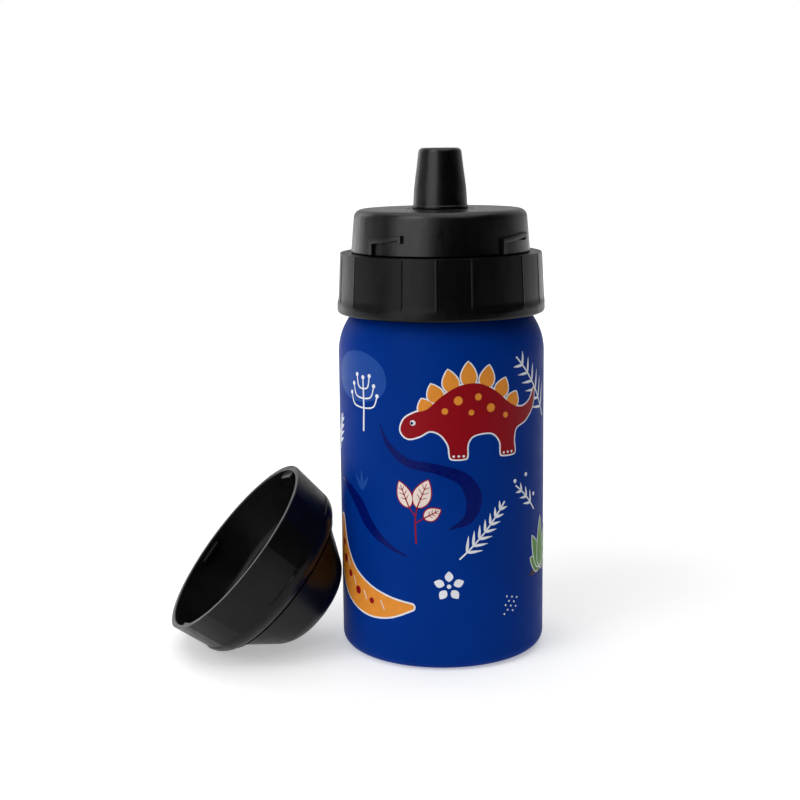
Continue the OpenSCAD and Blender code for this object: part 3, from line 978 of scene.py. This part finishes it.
def print_artwork():
    """Prints the front, then the same family of motifs in another order round the back."""
    inks = {
        name: Print("print_" + name, printed_ink("ink_" + name, colour))
        for name, colour in INKS.items()
    }
    inks["navy"] = Print("print_navy", glossy_ink("ink_navy", (0.0003, 0.0056, 0.115)))
    inks["haze"] = Print("print_haze", printed_ink("ink_haze", (0.010, 0.060, 0.300)))
    white, red, orange, green = inks["white"], inks["red"], inks["orange"], inks["green"]

    def ribbons(u):
        """Two dark, glossy bands that sweep across."""
        inks["navy"].shape(brush([
            (u - 22.5, 86.0, 0.3), (u - 19.0, 79.0, 1.8), (u - 12.0, 73.5, 2.9), (u - 2.0, 71.5, 3.4),
            (u + 7.0, 68.0, 4.6), (u + 11.0, 61.0, 5.6), (u + 9.0, 54.0, 3.6), (u + 2.5, 50.5, 0.4)]), 1)
        inks["navy"].shape(brush([
            (u - 47.0, 63.0, 0.4), (u - 40.5, 61.0, 3.0), (u - 33.5, 56.5, 5.0), (u - 28.0, 50.0, 4.2),
            (u - 21.0, 44.5, 2.2), (u - 12.5, 40.5, 0.4)]), 1)

    def sail(u, v):
        """A sweeping orange leaf with a white edge, red spots and white ticks."""
        blade = brush([
            (u - 21.0, v + 33.0, 3.0), (u - 20.0, v + 22.0, 9.6), (u - 14.0, v + 13.0, 12.0),
            (u - 4.0, v + 8.0, 11.0), (u + 6.0, v + 6.6, 7.6), (u + 15.5, v + 7.6, 2.0)])
        white.shape(grown(blade, 0.6), 2)
        orange.shape(blade, 3)
        spots = (
            (-19.6, 24.5, 1.3), (-18.0, 19.0, 1.6), (-13.6, 14.6, 1.3), (-8.0, 9.8, 1.5), (-0.6, 7.6, 1.1))
        for x, y, r in spots:
            red.shape(disc(u + x, v + y, r), 4)
        for x, y in ((-15.4, 18.6), (-10.9, 12.8), (-4.6, 9.0), (3.6, 6.9)):
            white.shape(brush([(u + x, v + y + 1.4, 0.3), (u + x + 1.4, v + y - 1.4, 0.3)], 1), 4)

    def dots(u, v):
        """An even scatter of fine dots, each one higher and moved on by the golden ratio."""
        for k in range(11):
            white.shape(disc(u + 6.2 * math.fmod(k * 0.618, 1.0), v + 0.62 * k, 0.34, count=10), 2)

    def sprout(u, v):
        """A clump of green leaves on a brown mound."""
        mound = brush([(u - 8.0, v - 5.6, 1.0), (u - 1.0, v - 4.0, 4.2), (u + 9.0, v - 5.0, 2.0)])
        inks["brown"].shape(mound, 2)
        for k, (angle, length) in enumerate(((150, 9.0), (28, 10.0), (118, 14.0), (58, 15.0), (88, 18.0))):
            blade = leaf(u, v - 4.0, angle, length, 5.6)
            white.shape(grown(blade, 0.4), 3 + k)
            green.shape(blade, 3.5 + k)

    inks["haze"].shape(cloud(-33.0, 101.0, 13.5, 9.0), 1)
    ribbons(0.0)
    dinosaur(inks, red, orange, 0.6, 74.8)
    bud_sprig(white, -30.0, 82.8, 18.4, 6.6)
    frond(white, 47.5, 85.0, 122, 30.0, 6, 8.6, droop=48)
    frond(white, -50.5, 73.0, 62, 14.0, 4, 5.0)
    for side in (-1, 0, 1):
        inks["haze"].shape(leaf(-31.5, 61.5, 90 + 34 * side, 7.5 - abs(side), 1.5), 2)
    leaf_stalk(inks, -10.2, 45.4)
    frond(white, 6.0, 40.0, 40, 25.0, 7, 6.0)
    frond(white, 39.0, 53.0, 128, 15.0, 3, 5.0, width=0.5)
    for u, v in ((27.6, 65.0), (33.5, 66.4), (38.8, 58.5)):
        white.shape(disc(u, v, 0.7), 3)
    sail(-26.5, 15.0)
    sprout(44.5, 35.0)
    dots(22.8, 18.4)
    blossom(white, 2.2, 30.4, 5.2)

    back = math.pi * BODY_R
    ribbons(back + 2.0)
    dinosaur(inks, green, orange, back - 3.0, 74.0, 0.95, -1)
    inks["haze"].shape(cloud(back + 35.0, 98.0, 12.5, 8.6), 1)
    bud_sprig(white, back + 34.0, 78.0, 20.0, 6.6)
    frond(white, back - 42.0, 74.0, 70, 28.0, 6, 7.6)
    leaf_stalk(inks, back + 22.0, 44.0)
    frond(white, back - 14.0, 38.0, 54, 24.0, 7, 6.0)
    sail(back - 24.0, 13.0)
    frond(white, back + 45.0, 40.0, 100, 20.0, 5, 6.4)
    blossom(white, back + 8.0, 28.0, 5.4)
    sprout(back + 30.0, 27.0)
    dots(back - 40.0, 52.0)
    for ink in inks.values():
        ink.finish()


# ---------------------------------------------------------------- studio

def add_floor():
    bm = bmesh.new()
    bmesh.ops.create_grid(bm, x_segments=8, y_segments=8, size=3.0, matrix=Matrix.Translation((0, 2.75, 0)))
    mesh = bpy.data.meshes.new("studio_floor")
    bm.to_mesh(mesh)
    bm.free()
    n = Nodes("pale_floor")
    n.colour(n.ramp(n.noise(400, 2), (0.86, 0.86, 0.86), (0.88, 0.88, 0.88)))
    away = n.add("ShaderNodeVectorMath", operation="LENGTH")
    n.link(n.place, away.inputs[0])
    n.link(n.spread(away.outputs["Value"], 0.40, 1.0, 0.12, 0.75), n.shader.inputs["Emission Strength"])
    n.set(Roughness=0.8, Emission_Color=(1, 1, 1, 1))
    mesh.materials.append(n.material)
    floor = bpy.data.objects.new("studio_floor", mesh)
    bpy.context.scene.collection.objects.link(floor)


def add_softbox(name, azimuth, distance, height, size, glow, aim=0.09):
    """A soft light of an even glow. Azimuth 0 is in front of the bottle and 90 to its right, in degrees."""
    a = math.radians(azimuth)
    light = bpy.data.lights.new(name, "AREA")
    light.shape = "RECTANGLE"
    light.size, light.size_y = size
    light.energy = glow * math.pi * size[0] * size[1]
    lamp = bpy.data.objects.new(name, light)
    lamp.location = (distance * math.sin(a), -distance * math.cos(a), height)
    lamp.rotation_euler = (Vector((0, 0, aim)) - lamp.location).to_track_quat("-Z", "Y").to_euler()
    lamp.visible_camera = False
    bpy.context.scene.collection.objects.link(lamp)


def add_world():
    """White to the camera. What it lights sees a white studio wall behind and a dark room in front."""
    world = bpy.data.worlds.new("studio")
    world.use_nodes = True
    tree = world.node_tree
    tree.nodes.clear()
    place = tree.nodes.new("ShaderNodeTexCoord")
    split = tree.nodes.new("ShaderNodeSeparateXYZ")
    tree.links.new(place.outputs["Generated"], split.inputs["Vector"])
    fade = tree.nodes.new("ShaderNodeMapRange")
    fade.interpolation_type = "SMOOTHSTEP"
    for key, value in (("From Min", -0.05), ("From Max", 0.75), ("To Min", 0.006), ("To Max", 0.55)):
        fade.inputs[key].default_value = value
    tree.links.new(split.outputs["Y"], fade.inputs["Value"])
    seen = tree.nodes.new("ShaderNodeBackground")
    lit = tree.nodes.new("ShaderNodeBackground")
    for node in (seen, lit):
        node.inputs["Color"].default_value = (1, 1, 1, 1)
    tree.links.new(fade.outputs["Result"], lit.inputs["Strength"])
    path = tree.nodes.new("ShaderNodeLightPath")
    mix = tree.nodes.new("ShaderNodeMixShader")
    out = tree.nodes.new("ShaderNodeOutputWorld")
    tree.links.new(path.outputs["Is Camera Ray"], mix.inputs["Fac"])
    tree.links.new(lit.outputs[0], mix.inputs[1])
    tree.links.new(seen.outputs[0], mix.inputs[2])
    tree.links.new(mix.outputs[0], out.inputs["Surface"])
    bpy.context.scene.world = world


def add_camera():
    """The photograph's view: a little above the bottle, almost square on."""
    pitch, yaw, roll = (math.radians(v) for v in (10.029, -1.608, -0.637))
    ahead = Vector((math.sin(yaw) * math.cos(pitch), math.cos(yaw) * math.cos(pitch), -math.sin(pitch)))
    right = Vector((math.cos(yaw), -math.sin(yaw), 0))
    up = Vector((math.sin(yaw) * math.sin(pitch), math.cos(yaw) * math.sin(pitch), math.cos(pitch)))
    rolled_right = right * math.cos(roll) + up * math.sin(roll)
    rolled_up = up * math.cos(roll) - right * math.sin(roll)
    lens = bpy.data.cameras.new("camera")
    lens.lens = 67.5
    lens.sensor_width = 36.0
    lens.clip_start = 0.01
    camera = bpy.data.objects.new("camera", lens)
    turn = Matrix((rolled_right, rolled_up, -ahead)).transposed().to_4x4()
    camera.matrix_world = Matrix.Translation((0, -0.5301, 0.1826)) @ turn
    bpy.context.scene.collection.objects.link(camera)
    bpy.context.scene.camera = camera


make_flask()
print_artwork()
make_collar()
make_lid()
make_spout()
make_cap()
dress_cad_nodes()
add_floor()
add_softbox("key", -38, 0.80, 0.30, (0.72, 0.90), 1.9)
add_softbox("high_left", -48, 0.42, 0.62, (0.30, 0.30), 3.0, aim=0.11)
add_softbox("left_side", -90, 0.90, 0.26, (0.50, 0.90), 0.32)
add_softbox("left_back", -135, 0.90, 0.26, (0.45, 0.90), 0.9)
add_softbox("overhead", 0, 0.05, 1.10, (1.20, 1.20), 1.4)
add_world()
add_camera()
bpy.context.scene.view_settings.view_transform = "Standard"
